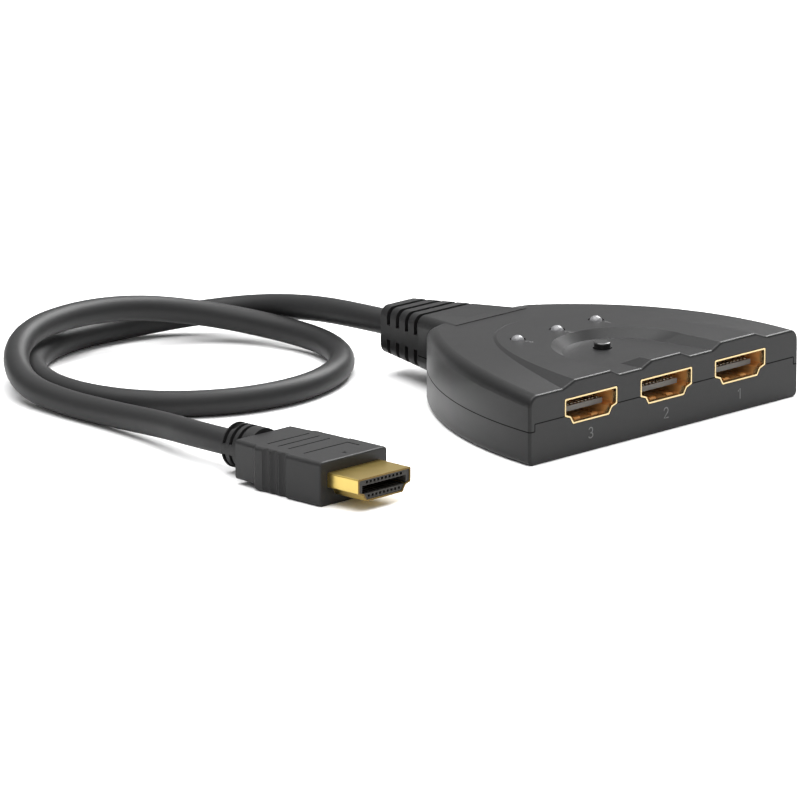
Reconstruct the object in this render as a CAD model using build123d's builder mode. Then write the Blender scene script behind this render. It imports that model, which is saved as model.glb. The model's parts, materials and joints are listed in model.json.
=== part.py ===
"""A three-input video switch box with a moulded housing, three input sockets along its front edge,
a select button, three indicator lamps, and a captive output lead that ends in a plug.

All lengths are in millimetres. X runs along the front edge, Y to the rear, Z up. The origin lies on
the surface that the box stands on, under the middle of the box and its strain relief.
"""

import math
import os

from build123d import *

os.makedirs("parts", exist_ok=True)

# Driving dimensions of the housing
housing_side_margin = 10.0
housing_length = 52.2
wall = 1.8
floor_thickness = 1.6
ceiling_z = 11.9
bottom_edge_radius = 1.1
top_edge_radius = 2.2
front_edge_radius = 0.5
rear_corner_half_width = 14.2
rear_end_bulge = 2.4
rear_corner_radius = 6.0
side_bow_width_share = 0.872
side_bow_run_share = 0.3889

# Crowned top: an outer margin, a raised plateau inside it and a dish round the button
margin_front_z = 13.5
margin_crown_z = 14.95
margin_rear_z = 14.5
margin_crown_setback = 16.2
plateau_front_z = 14.7
plateau_crown_z = 15.2
plateau_rear_z = 14.9
plateau_crown_run = 26.0
plateau_side_margin = 10.8
plateau_rear_setback = 10.7
plateau_ramp_width = 3.5
plateau_ramp_height = 1.2
dish_floor_z = 13.55
dish_depth = 1.55
dish_floor_radius = 11.5
dish_rim_radius = 15.05
dish_floor_centre = 11.5
dish_rim_centre = 9.45
dish_floor_mouth = 13.2
dish_rim_mouth = 16.6
hump_top_half_width = 4.1
hump_foot_half_width = 6.9
hump_top_run = 3.2
hump_foot_run = 5.6

# Parting line between the two shells
seam_z = 6.6
front_seam_z = 8.05
front_seam_inset = 1.4
lip_thickness = 0.8
lip_height = 1.2
lip_root = 1.6
lip_clearance = 0.1
lip_front_run = 3.2
lip_neck_half_width = 11.0
lip_neck_setback = 7.2

# Input sockets
port_count = 3
port_pitch = 21.2
port_axis_z = 8.785
port_opening_width = 14.0
port_opening_height = 4.55
port_depth = 10.6
sheet = 0.3
port_wall_clearance = 0.1
finger_width = 1.7
finger_length = 5.6
finger_slot = 0.35
finger_setback = 0.9
finger_spread = 2.4
finger_bump_height = 0.35
finger_bump_length = 1.3
shell_tab_width = 1.0
shell_tab_reach = 0.5
shell_tab_front_run = 3.4
shell_tab_rear_run = 8.6
tongue_width = 11.2
tongue_thickness = 1.0
tongue_recess = 2.3
tongue_drop = 0.2
socket_block_depth = 3.6
contact_pitch = 1.0
top_contact_count = 10
bottom_contact_count = 9
contact_width = 0.45
contact_thickness = 0.2
contact_setback = 0.5
contact_tail_step = 0.6

# Shoulders of the connector outline, as shares of its half width and height
shoulder_drop_share = 0.625
shoulder_step_share = 0.1
shoulder_inset_share = 0.195
lower_half_width_share = 0.694

# Circuit board
board_thickness = 1.2
board_side_margin = 0.2
board_gap = 0.4
board_side_run = 18.0
board_boss_gap = 4.0
board_rear_half_width = 14.0
board_hole_radius = 1.1
board_hole_side_inset = 2.8
board_hole_front_run = 14.8
board_hole_rear_inset = 5.5
board_hole_rear_half_width = 15.2
board_lead_hole_radius = 0.4
post_radius = 2.0
post_pin_radius = 1.0
post_pin_reach = 0.5

# Screws and their bosses
boss_radius = 2.5
front_boss_gap = 0.3
front_boss_run = 9.0
rear_boss_half_width = 12.2
rear_boss_setback = 9.2
screw_head_radius = 1.9
screw_head_height = 1.3
screw_recess_depth = 2.2
screw_recess_clearance = 0.2
screw_shank_radius = 0.95
screw_length = 8.0
screw_hole_clearance = 0.05
screw_drive_radius = 0.9
screw_drive_width = 0.45
screw_drive_depth = 0.6

# Indicator lamps
lamp_pitch = 11.1
lamp_board_inset = 8.0
lamp_radius = 1.35
lamp_hole_clearance = 0.2
lamp_top_z = 16.0
lamp_flange_radius = 1.75
lamp_flange_height = 0.9
lamp_flange_gap = 0.2
lamp_lead_width = 0.45
lamp_lead_pitch = 1.27
lamp_lead_reach = 0.6

# Select button and its switch
switch_port_gap = 3.0
button_radius = 1.65
button_top_z = 14.75
button_edge_radius = 0.35
button_flange_radius = 2.7
button_flange_height = 0.7
button_flange_gap = 0.2
button_clearance = 0.2
button_stem_radius = 1.5
switch_width = 6.0
switch_base_height = 2.3
switch_base_floor = 0.8
switch_well_radius = 2.3
switch_cover_thickness = 0.3
plunger_radius = 1.6
plunger_flange_radius = 2.05
plunger_flange_height = 0.5
plunger_clearance = 0.1
plunger_top_z = 10.1
dome_radius = 2.1
dome_sheet = 0.12
terminal_width = 0.7
terminal_thickness = 0.25
terminal_length = 1.1
terminal_pitch = 4.5
cover_tab_width = 2.4
cover_tab_height = 1.2

# Parts on the board
chip_width = 9.0
chip_height = 1.1
chip_stand_off = 0.1
chip_place = 14.6
chip_run = 20.6
chip_lead_count = 8
chip_lead_pitch = 0.95
chip_lead_width = 0.32
chip_lead_thickness = 0.18
chip_lead_length = 1.2
chip_lead_knee = 0.5
chip_mark_radius = 0.5
chip_mark_depth = 0.1
crystal_length = 10.6
crystal_width = 4.4
crystal_height = 3.3
crystal_place = -13.4
crystal_run = 16.6
crystal_brim = 0.3
crystal_brim_height = 0.4
regulator_width = 6.4
regulator_length = 3.4
regulator_height = 1.6
regulator_place = -14.2
regulator_run = 23.4
regulator_tab_length = 1.4
regulator_lead_pitch = 2.3
regulator_lead_width = 0.7
regulator_sheet = 0.3
capacitor_length = 2.0
capacitor_width = 1.25
capacitor_height = 1.1
resistor_length = 1.6
resistor_width = 0.8
resistor_height = 0.45
chip_part_pitch = 2.6
capacitor_count = 5
capacitor_board_inset = 3.5
resistor_count = 6
resistor_lamp_step = 4.1
resistor_row_place = -2.2

# Strain relief at the rear of the housing
relief_axis_z = 9.0
relief_end_half_width = 5.5
relief_end_half_height = 4.8
relief_side_flare_share = 0.245
relief_top_flare_share = 0.04
relief_corner_radius = 2.0
neck_reach = 5.0
neck_root_depth = 6.2
neck_corner_radius = 1.5
relief_length = 13.4
groove_count = 4
groove_pitch = 3.2
groove_width = 1.15
groove_end_distance = 2.8
groove_depth = 1.5
groove_bridge_height = 2.9
relief_core_half_width = 4.4
relief_core_half_height = 3.4
relief_core_radius = 1.2
relief_flange_half_width = 5.6
relief_flange_rise = 2.5
relief_flange_fall = 4.2
relief_flange_depth = 0.3
relief_flange_length = 1.6
relief_core_depth = 2.6
relief_fit_clearance = 0.05

# Lead
cord_diameter = 5.1
cord_tail_depth = 7.6
clamp_setback = 1.0
clamp_length = 3.2
clamp_thickness = 0.5
wire_count = 5
wire_diameter = 0.8
wire_pitch = 0.95
wire_board_pitch = 1.9
wire_bend_radius = 1.5
wire_straight = 1.6
wire_landing = 1.7

# Output plug
plug_place_x = -77.7
plug_front_y = -27.7
plug_axis_z = 4.25
plug_length = 23.4
plug_front_width = 17.8
plug_grip_width = 17.0
plug_height = 8.5
plug_front_length = 9.0
plug_grip_length = 8.4
plug_step_length = 0.7
plug_rear_width = 16.0
plug_end_width = 15.2
plug_rear_lift = 0.9
plug_edge_radius = 0.8
plug_scallop_count = 3
plug_scallop_pitch = 2.2
plug_scallop_radius = 1.3
plug_scallop_depth = 0.5
plug_groove_width = 0.35
plug_groove_depth = 0.25
plug_groove_length = 11.0
plug_groove_pitch = 2.7
plug_groove_count = 3
plug_groove_run = 11.6
plug_line_run = 7.2
plug_line_front_run = 4.1
plug_line_half_width = 5.9
plug_mark_run = 2.4
plug_mark_radius = 0.6
plug_relief_radius = 4.35
plug_relief_barrel = 7.1
plug_relief_end = 7.6
plug_relief_tip_radius = 3.7
plug_relief_axis_z = 5.0
plug_ring_count = 3
plug_ring_pitch = 1.7
plug_ring_width = 0.8
plug_ring_depth = 1.1
plug_ring_setback = 2.6
plug_ring_bridge = 2.0
plug_shell_width = 13.9
plug_shell_height = 4.45
plug_shell_reach = 7.9
plug_shell_root = 6.0
plug_shell_drop = 0.15
plug_face_recess = 0.15
plug_slot_width = 11.5
plug_slot_height = 1.6
plug_slot_depth = 6.0
plug_slot_rise = 0.05
plug_hole_width = 0.55
plug_hole_height = 0.5
plug_hole_depth = 0.8
plug_hole_edge = 0.28
plug_contact_setback = 0.9
plug_front_edge_radius = 0.35

# Share of the shorter run that an arc of the lead takes
bend_share = 0.45

# How far cutting and joining shapes run past a face
overrun = 1.0

# Points worked out from the sizes above
housing_width = port_pitch * (port_count - 1) + port_opening_width + 2 * housing_side_margin
relief_front_run = housing_length + neck_reach
overall_length = relief_front_run + relief_length
front_y = -overall_length / 2
rear_y = front_y + housing_length
half_width = housing_width / 2
cord_radius = cord_diameter / 2
rear_corner_run = housing_length - rear_end_bulge
margin_crown_run = housing_length - margin_crown_setback
plateau_run = housing_length - plateau_rear_setback
button_run = port_depth + switch_width / 2 + switch_port_gap
plateau_half_width = half_width - plateau_side_margin
front_seam_half_width = half_width - front_seam_inset
rear_boss_run = housing_length - rear_boss_setback
board_half_width = (port_pitch * (port_count - 1) + port_opening_width) / 2 + board_side_margin
board_rear_run = rear_boss_run - boss_radius - board_boss_gap
board_hole_half_width = board_half_width - board_hole_side_inset
board_hole_rear_run = board_rear_run - board_hole_rear_inset
front_boss_half_width = board_half_width + front_boss_gap + boss_radius
lamp_run = board_rear_run - lamp_board_inset
capacitor_run = board_rear_run - capacitor_board_inset
resistor_run = lamp_run - resistor_lamp_step
neck_root_run = housing_length - neck_root_depth
relief_core_run = housing_length - relief_core_depth
relief_flange_run = housing_length - relief_flange_depth
cord_tail_run = housing_length - cord_tail_depth
clamp_run = cord_tail_run + clamp_setback
board_top_z = port_axis_z - port_opening_height / 2 - sheet
board_bottom_z = board_top_z - board_thickness
port_places = [port_pitch * ((port_count - 1) / 2 - index) for index in range(port_count)]
lamp_places = [lamp_pitch * ((port_count - 1) / 2 - index) for index in range(port_count)]
form_height = plateau_crown_z + overrun
front_plane = Plane(origin=(0, front_y, 0), x_dir=(1, 0, 0), z_dir=(0, -1, 0))


def run(distance):
    """Give the Y place of a point that lies a distance behind the front face."""
    return front_y + distance


def housing_outline(inset=0.0):
    """Draw the plan of the housing, moved inward by a distance: straight front, bowed sides, rounded rear."""
    with BuildLine():
        side = ThreePointArc((half_width, front_y),
                             (half_width * side_bow_width_share, run(housing_length * side_bow_run_share)),
                             (rear_corner_half_width, run(rear_corner_run)))
        rear = ThreePointArc((rear_corner_half_width, run(rear_corner_run)), (0, rear_y),
                             (-rear_corner_half_width, run(rear_corner_run)))
    with BuildSketch() as outline:
        with Locations((0, front_y + inset)):
            Rectangle(housing_width + 2 * overrun, housing_length, align=(Align.CENTER, Align.MIN))
        for hand in (-1, 1):
            with Locations((hand * side.arc_center.X, side.arc_center.Y)):
                Circle(side.radius - inset, mode=Mode.INTERSECT)
        with Locations((0, rear.arc_center.Y)):
            Circle(rear.radius - inset, mode=Mode.INTERSECT)
        fillet(outline.vertices().sort_by(Axis.Y)[-2:], radius=rear_corner_radius - inset)
    return outline.sketch


def crown_profile(front_z, crown_z, crown_run, rear_z):
    """Draw the side view under a surface that rises from the front edge and falls to the rear."""
    end = run(rear_corner_run)
    with BuildSketch() as profile:
        with BuildLine():
            ThreePointArc((front_y, front_z), (run(crown_run), crown_z), (end, rear_z))
            Polyline((end, rear_z), (rear_y + overrun, rear_z), (rear_y + overrun, 0), (front_y, 0),
                     (front_y, front_z))
        make_face()
    return profile.sketch


def dish_outline(rise_count):
    """Draw the dish at a number of its own depths above its floor: a half round open to the front."""
    radius = dish_floor_radius + (dish_rim_radius - dish_floor_radius) * rise_count
    centre = run(dish_floor_centre + (dish_rim_centre - dish_floor_centre) * rise_count)
    mouth = dish_floor_mouth + (dish_rim_mouth - dish_floor_mouth) * rise_count
    with BuildSketch() as outline:
        with BuildLine():
            ThreePointArc((radius, centre), (0, centre + radius), (-radius, centre))
            Polyline((-radius, centre), (-mouth, front_y), (-mouth, front_y - overrun),
                     (mouth, front_y - overrun), (mouth, front_y), (radius, centre))
        make_face()
    return outline.sketch


def connector_outline(width, height, grown=0.0):
    """Draw the outline of a socket or plug: wide at the top, stepped in to a narrower foot."""
    half = width / 2
    top = height / 2
    shoulder_z = top - height * shoulder_drop_share
    inner = half - half * shoulder_inset_share
    inner_z = shoulder_z - height * shoulder_step_share
    foot = half * lower_half_width_share
    with BuildSketch() as outline:
        with BuildLine():
            Polyline((-half, top), (half, top), (half, shoulder_z), (inner, inner_z), (foot, -top),
                     (-foot, -top), (-inner, inner_z), (-half, shoulder_z), (-half, top))
        make_face()
        if grown:
            offset(amount=grown, kind=Kind.INTERSECTION)
        fillet(outline.vertices(), radius=sheet)
    return outline.sketch


def relief_section(distance, shrink=0.0):
    """Draw the rounded rectangle of the flared neck at a distance behind the front face."""
    to_end = overall_length - distance
    width = 2 * (relief_end_half_width + relief_side_flare_share * to_end)
    height = 2 * (relief_end_half_height + relief_top_flare_share * to_end)
    with BuildSketch() as section:
        RectangleRounded(width - 2 * shrink, height - 2 * shrink, relief_corner_radius - shrink)
    return section.sketch


def relief_plane(distance):
    """Give the upright plane across the lead at a distance behind the front face."""
    return Plane(origin=(0, run(distance), relief_axis_z), x_dir=(1, 0, 0), z_dir=(0, -1, 0))


def plug_plane(distance, height=0.0):
    """Give the upright plane across the plug at a distance behind its front face."""
    return Plane(origin=(plug_place_x, plug_front_y + distance, height), x_dir=(1, 0, 0), z_dir=(0, -1, 0))


def lip_ring(gap):
    """Draw the locating lip: a band inside the side and rear walls, clear of the sockets and the neck."""
    with BuildSketch() as band:
        add(housing_outline(wall + gap))
        add(housing_outline(wall + lip_thickness), mode=Mode.SUBTRACT)
        with Locations((0, front_y)):
            Rectangle(housing_width, lip_front_run, align=(Align.CENTER, Align.MIN), mode=Mode.SUBTRACT)
        with Locations((0, run(housing_length - lip_neck_setback))):
            Rectangle(2 * lip_neck_half_width, housing_length, align=(Align.CENTER, Align.MIN),
                      mode=Mode.SUBTRACT)
    return band.sketch


def shell_tab_places():
    """List the places of the tabs that hold the socket shells in the board."""
    side_step = (port_opening_width + sheet) / 2
    return [(place + side * side_step, run(distance)) for place in port_places for side in (-1, 1)
            for distance in (shell_tab_front_run, shell_tab_rear_run)]


def lamp_lead_places():
    """List the places of the lamp leads."""
    return [(place + side * lamp_lead_pitch / 2, run(lamp_run)) for place in lamp_places for side in (-1, 1)]


# Outer form of the closed housing, from which both shells are parted
with BuildPart() as plateau:
    for step in (-1, 1):
        swell = -step * plateau_ramp_width
        height = margin_front_z + plateau_ramp_height / 2 + step * plateau_ramp_height
        with BuildSketch(Plane.XY.offset(height)):
            with Locations((0, front_y)):
                Ellipse(plateau_half_width + swell, plateau_run + swell)
                Rectangle(housing_width * 2, plateau_run * 2, align=(Align.CENTER, Align.MIN),
                          mode=Mode.INTERSECT)
    loft(ruled=True)
    with BuildSketch(Plane.YZ):
        add(crown_profile(plateau_front_z, plateau_crown_z, plateau_crown_run, plateau_rear_z))
    extrude(amount=housing_width, both=True, mode=Mode.INTERSECT)

with BuildPart() as dish:
    for rise_count in (0, 2):
        with BuildSketch(Plane.XY.offset(dish_floor_z + dish_depth * rise_count)):
            add(dish_outline(rise_count))
    loft(ruled=True)

with BuildPart() as housing_form:
    with BuildSketch():
        add(housing_outline())
    extrude(amount=form_height)
    bottom_edges = housing_form.faces().sort_by(Axis.Z)[0].edges()
    fillet(bottom_edges.filter_by(lambda edge: edge.center().Y > front_y + overrun), radius=bottom_edge_radius)
    with BuildSketch(Plane.YZ):
        add(crown_profile(margin_front_z, margin_crown_z, margin_crown_run, margin_rear_z))
    extrude(amount=housing_width, both=True, mode=Mode.INTERSECT)
    top_edges = housing_form.faces().sort_by(Axis.Z)[-1].edges()
    fillet(top_edges.filter_by(lambda edge: edge.center().Y > front_y + overrun), radius=top_edge_radius)
    add(plateau.part)
    add(dish.part, mode=Mode.SUBTRACT)
    # Short hump over the middle socket
    for height, half, reach in ((dish_floor_z, hump_foot_half_width, hump_foot_run),
                                (plateau_front_z, hump_top_half_width, hump_top_run)):
        with BuildSketch(Plane.XY.offset(height)):
            with Locations((0, front_y)):
                Rectangle(2 * half, reach, align=(Align.CENTER, Align.MIN))
    loft(ruled=True)
    # Flared neck round the strain relief
    for distance in (neck_root_run, relief_front_run):
        with BuildSketch(relief_plane(distance)):
            add(relief_section(distance))
    loft(ruled=True)
    # Softened rim of the front face and soft corners beside the neck
    fillet(housing_form.faces().sort_by(Axis.Y)[0].edges(), radius=front_edge_radius)
    rear_edges = housing_form.edges().filter_by_position(Axis.Y, run(rear_corner_run), rear_y)
    upright_edges = rear_edges.filter_by(lambda edge: edge.bounding_box().size.Z > neck_reach)
    fillet(upright_edges.sort_by(lambda edge: abs(edge.center().X))[:2], radius=neck_corner_radius)

# Inner space of the housing
with BuildPart() as cavity:
    with BuildSketch(Plane.XY.offset(floor_thickness)):
        add(housing_outline(wall))
    extrude(amount=ceiling_z - floor_thickness)

# Everything below the parting line, which steps up behind the front face
with BuildPart() as lower_region:
    with BuildSketch():
        Rectangle(2 * housing_width, 2 * overall_length)
    extrude(amount=seam_z)
    with BuildSketch():
        with Locations((0, front_y - overrun)):
            Rectangle(2 * front_seam_half_width, overrun + wall, align=(Align.CENTER, Align.MIN))
    extrude(amount=front_seam_z)

# Way of the strain relief through the neck: its core and its retaining flange, both with a fit gap
with BuildPart() as relief_passage:
    with BuildSketch(relief_plane(relief_core_run)):
        RectangleRounded(2 * (relief_core_half_width + relief_fit_clearance),
                         2 * (relief_core_half_height + relief_fit_clearance),
                         relief_core_radius + relief_fit_clearance)
    extrude(amount=relief_core_run - relief_front_run)
    with BuildSketch(relief_plane(relief_flange_run - relief_fit_clearance)):
        with Locations((0, relief_flange_rise + relief_fit_clearance)):
            Rectangle(2 * (relief_flange_half_width + relief_fit_clearance),
                      relief_flange_rise + relief_flange_fall + 2 * relief_fit_clearance,
                      align=(Align.CENTER, Align.MAX))
    extrude(amount=-(relief_flange_length + 2 * relief_fit_clearance))
    with BuildSketch(relief_plane(cord_tail_run)):
        Circle(cord_radius + clamp_thickness + 2 * relief_fit_clearance)
    extrude(amount=cord_tail_run - relief_core_run)

boss_places = [(side * front_boss_half_width, run(front_boss_run)) for side in (-1, 1)]
boss_places += [(side * rear_boss_half_width, run(rear_boss_run)) for side in (-1, 1)]
post_places = [(side * board_hole_half_width, run(board_hole_front_run)) for side in (-1, 1)]
post_places += [(side * board_hole_rear_half_width, run(board_hole_rear_run)) for side in (-1, 1)]

with BuildPart() as bottom_shell:
    add(housing_form.part)
    add(cavity.part, mode=Mode.SUBTRACT)
    add(lower_region.part, mode=Mode.INTERSECT)
    # Screw bosses and board posts with their locating pins
    with BuildSketch(Plane.XY.offset(floor_thickness)):
        with Locations(*boss_places):
            Circle(boss_radius)
    extrude(amount=seam_z - floor_thickness)
    with BuildSketch(Plane.XY.offset(floor_thickness)):
        with Locations(*post_places):
            Circle(post_radius)
    extrude(amount=board_bottom_z - floor_thickness)
    with BuildSketch(Plane.XY.offset(board_bottom_z)):
        with Locations(*post_places):
            Circle(post_pin_radius)
    extrude(amount=board_thickness + post_pin_reach)
    with Locations(*[Plane(origin=(x, y, 0), z_dir=(0, 0, -1)) for x, y in boss_places]):
        CounterBoreHole(radius=screw_shank_radius + screw_hole_clearance,
                        counter_bore_radius=screw_head_radius + screw_recess_clearance,
                        counter_bore_depth=screw_recess_depth, depth=seam_z)
    # Locating lip inside the rim
    with BuildSketch(Plane.XY.offset(seam_z - lip_root)):
        add(lip_ring(-wall / 2))
    extrude(amount=lip_root)
    with BuildSketch(Plane.XY.offset(seam_z)):
        add(lip_ring(lip_clearance))
    extrude(amount=lip_height)
    # Mouths of the sockets and the passage of the strain relief
    with BuildSketch(front_plane):
        with Locations(*[(place, port_axis_z) for place in port_places]):
            add(connector_outline(port_opening_width, port_opening_height, sheet + port_wall_clearance))
    extrude(amount=-wall, mode=Mode.SUBTRACT)
    add(relief_passage.part, mode=Mode.SUBTRACT)
bottom_shell.part.label = "bottom_shell"
export_step(bottom_shell.part, "parts/bottom_shell.step")

with BuildPart() as top_shell:
    add(housing_form.part)
    add(cavity.part, mode=Mode.SUBTRACT)
    add(lower_region.part, mode=Mode.SUBTRACT)
    # Screw bosses and hold-down posts that reach the board
    with BuildSketch(Plane.XY.offset(seam_z)):
        with Locations(*boss_places):
            Circle(boss_radius)
    extrude(amount=ceiling_z - seam_z)
    with BuildSketch(Plane.XY.offset(board_top_z)):
        with Locations(*post_places):
            Circle(post_radius)
    extrude(amount=ceiling_z - board_top_z)
    with Locations(*[Plane(origin=(x, y, seam_z), z_dir=(0, 0, -1)) for x, y in boss_places]):
        Hole(radius=screw_shank_radius + screw_hole_clearance,
             depth=screw_recess_depth + screw_length - seam_z + post_pin_reach)
    with Locations(*[Plane(origin=(x, y, board_top_z), z_dir=(0, 0, -1)) for x, y in post_places]):
        Hole(radius=post_pin_radius + screw_hole_clearance, depth=2 * post_pin_reach)
    with BuildSketch(front_plane):
        with Locations(*[(place, port_axis_z) for place in port_places]):
            add(connector_outline(port_opening_width, port_opening_height, sheet + port_wall_clearance))
    extrude(amount=-wall, mode=Mode.SUBTRACT)
    add(relief_passage.part, mode=Mode.SUBTRACT)
    # Holes for the lamps and the button
    with BuildSketch(Plane.XY.offset(ceiling_z)):
        with Locations(*[(place, run(lamp_run)) for place in lamp_places]):
            Circle(lamp_radius + lamp_hole_clearance)
        with Locations((0, run(button_run))):
            Circle(button_radius + button_clearance)
    extrude(amount=form_height - ceiling_z, mode=Mode.SUBTRACT)
top_shell.part.label = "top_shell"
export_step(top_shell.part, "parts/top_shell.step")

with BuildPart() as case_screws:
    head_z = screw_recess_depth - screw_head_height
    with BuildSketch(Plane.XY.offset(head_z)):
        with Locations(*boss_places):
            Circle(screw_head_radius)
    extrude(amount=screw_head_height)
    with BuildSketch(Plane.XY.offset(screw_recess_depth)):
        with Locations(*boss_places):
            Circle(screw_shank_radius)
    extrude(amount=screw_length)
    with BuildSketch(Plane.XY.offset(head_z)):
        with Locations(*boss_places):
            Rectangle(2 * screw_drive_radius, screw_drive_width)
            Rectangle(screw_drive_width, 2 * screw_drive_radius)
    extrude(amount=screw_drive_depth, mode=Mode.SUBTRACT)
case_screws.part.label = "case_screws"
export_step(case_screws.part, "parts/case_screws.step")

# Circuit board with its locating holes and the slots and holes of what stands on it
with BuildPart() as circuit_board:
    with BuildSketch(Plane.XY.offset(board_bottom_z)):
        with BuildLine():
            Polyline((-board_half_width, run(wall + board_gap)), (board_half_width, run(wall + board_gap)),
                     (board_half_width, run(board_side_run)), (board_rear_half_width, run(board_rear_run)),
                     (-board_rear_half_width, run(board_rear_run)), (-board_half_width, run(board_side_run)),
                     (-board_half_width, run(wall + board_gap)))
        make_face()
        with Locations(*post_places):
            Circle(board_hole_radius, mode=Mode.SUBTRACT)
        with Locations(*shell_tab_places()):
            Rectangle(sheet + 2 * port_wall_clearance, shell_tab_width + 2 * port_wall_clearance,
                      mode=Mode.SUBTRACT)
        with Locations(*lamp_lead_places()):
            Circle(board_lead_hole_radius, mode=Mode.SUBTRACT)
    extrude(amount=board_thickness)
circuit_board.part.label = "circuit_board"
export_step(circuit_board.part, "parts/circuit_board.step")

# Input sockets: a folded shell with spring fingers, an insulator with its tongue, and the contacts
tongue_z = port_axis_z - tongue_drop
opening_top_z = port_axis_z + port_opening_height / 2
opening_bottom_z = port_axis_z - port_opening_height / 2
block_run = port_depth - socket_block_depth
for number, place in enumerate(port_places, start=1):
    with BuildPart() as port_shell:
        with BuildSketch(front_plane):
            with Locations((place, port_axis_z)):
                add(connector_outline(port_opening_width, port_opening_height, sheet))
                add(connector_outline(port_opening_width, port_opening_height), mode=Mode.SUBTRACT)
        extrude(amount=-port_depth)
        with BuildSketch(Plane.XY.offset(board_top_z)):
            with Locations(*[(place + side * finger_spread, run(finger_setback)) for side in (-1, 1)]):
                Rectangle(finger_width + 2 * finger_slot, finger_length, align=(Align.CENTER, Align.MIN))
            with Locations(*[(place + side * finger_spread, run(finger_setback + finger_slot)) for side in (-1, 1)]):
                Rectangle(finger_width, finger_length, align=(Align.CENTER, Align.MIN), mode=Mode.SUBTRACT)
        extrude(amount=port_opening_height + 2 * sheet, mode=Mode.SUBTRACT)
        # Rounded contact bumps near the free ends of the fingers
        for side in (-1, 1):
            bump_start = run(finger_setback + finger_slot)
            with BuildSketch(Plane.YZ.offset(place + side * finger_spread)):
                for seat_z, rise in ((opening_bottom_z, 1), (opening_top_z, -1)):
                    with BuildLine():
                        ThreePointArc((bump_start, seat_z),
                                      (bump_start + finger_bump_length / 2, seat_z + rise * finger_bump_height),
                                      (bump_start + finger_bump_length, seat_z))
                        Line((bump_start + finger_bump_length, seat_z), (bump_start, seat_z))
                    make_face()
            extrude(amount=finger_width / 2, both=True)
        with BuildSketch(Plane.XY.offset(board_bottom_z - shell_tab_reach)):
            with Locations(*[point for point in shell_tab_places() if abs(point[0] - place) < port_pitch / 2]):
                Rectangle(sheet, shell_tab_width)
        extrude(amount=port_axis_z - board_bottom_z + shell_tab_reach)
    port_shell.part.label = f"port_shell_{number}"
    export_step(port_shell.part, f"parts/port_shell_{number}.step")

    with BuildPart() as port_contacts:
        for count, seat_z, tail in ((top_contact_count, tongue_z + tongue_thickness / 2, 2),
                                    (bottom_contact_count, tongue_z - tongue_thickness / 2 - contact_thickness, 1)):
            tail_run = port_depth + tail * contact_tail_step
            starts = [place + contact_pitch * (index - (count - 1) / 2) for index in range(count)]
            with BuildSketch(Plane.XY.offset(seat_z)):
                with Locations(*[(start, run(tongue_recess + contact_setback)) for start in starts]):
                    Rectangle(contact_width, tail_run - tongue_recess - contact_setback,
                              align=(Align.CENTER, Align.MIN))
            extrude(amount=contact_thickness)
            with BuildSketch(Plane.XY.offset(board_top_z)):
                with Locations(*[(start, run(tail_run)) for start in starts]):
                    Rectangle(contact_width, contact_thickness, align=(Align.CENTER, Align.MIN))
            extrude(amount=seat_z + contact_thickness - board_top_z)
    port_contacts.part.label = f"port_contacts_{number}"
    export_step(port_contacts.part, f"parts/port_contacts_{number}.step")

    with BuildPart() as port_insulator:
        with BuildSketch(front_plane.offset(-block_run)):
            with Locations((place, port_axis_z)):
                add(connector_outline(port_opening_width, port_opening_height))
        extrude(amount=-socket_block_depth)
        with BuildSketch(front_plane.offset(-tongue_recess)):
            with Locations((place, tongue_z)):
                Rectangle(tongue_width, tongue_thickness)
        extrude(amount=-(block_run - tongue_recess))
        add(port_contacts.part, mode=Mode.SUBTRACT)
    port_insulator.part.label = f"port_insulator_{number}"
    export_step(port_insulator.part, f"parts/port_insulator_{number}.step")

# Indicator lamps on their leads
lamp_flange_z = ceiling_z - lamp_flange_gap - lamp_flange_height
for number, place in enumerate(lamp_places, start=1):
    with BuildPart() as lamp:
        with BuildSketch(Plane.XY.offset(lamp_flange_z)):
            with Locations((place, run(lamp_run))):
                Circle(lamp_flange_radius)
        extrude(amount=lamp_flange_height)
        with BuildSketch(Plane.XY.offset(lamp_flange_z)):
            with Locations((place, run(lamp_run))):
                Circle(lamp_radius)
        extrude(amount=lamp_top_z - lamp_radius - lamp_flange_z)
        with Locations((place, run(lamp_run), lamp_top_z - lamp_radius)):
            Sphere(lamp_radius)
    lamp.part.label = f"indicator_lamp_{number}"
    export_step(lamp.part, f"parts/indicator_lamp_{number}.step")

with BuildPart() as lamp_leads:
    with BuildSketch(Plane.XY.offset(board_bottom_z - lamp_lead_reach)):
        with Locations(*lamp_lead_places()):
            Rectangle(lamp_lead_width, lamp_lead_width)
    extrude(amount=lamp_flange_z - board_bottom_z + lamp_lead_reach)
lamp_leads.part.label = "lamp_leads"
export_step(lamp_leads.part, "parts/lamp_leads.step")

# Select button: a round cap with a retaining flange and a stem that rests on the switch
button_flange_z = ceiling_z - button_flange_gap - button_flange_height
with BuildPart() as select_button:
    for low_z, high_z, radius in ((plunger_top_z, button_flange_z, button_stem_radius),
                                  (button_flange_z, button_flange_z + button_flange_height, button_flange_radius),
                                  (button_flange_z + button_flange_height, button_top_z, button_radius)):
        with BuildSketch(Plane.XY.offset(low_z)):
            with Locations((0, run(button_run))):
                Circle(radius)
        extrude(amount=high_z - low_z)
    fillet(select_button.edges().sort_by(Axis.Z)[-1], radius=button_edge_radius)
select_button.part.label = "select_button"
export_step(select_button.part, "parts/select_button.step")

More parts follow.
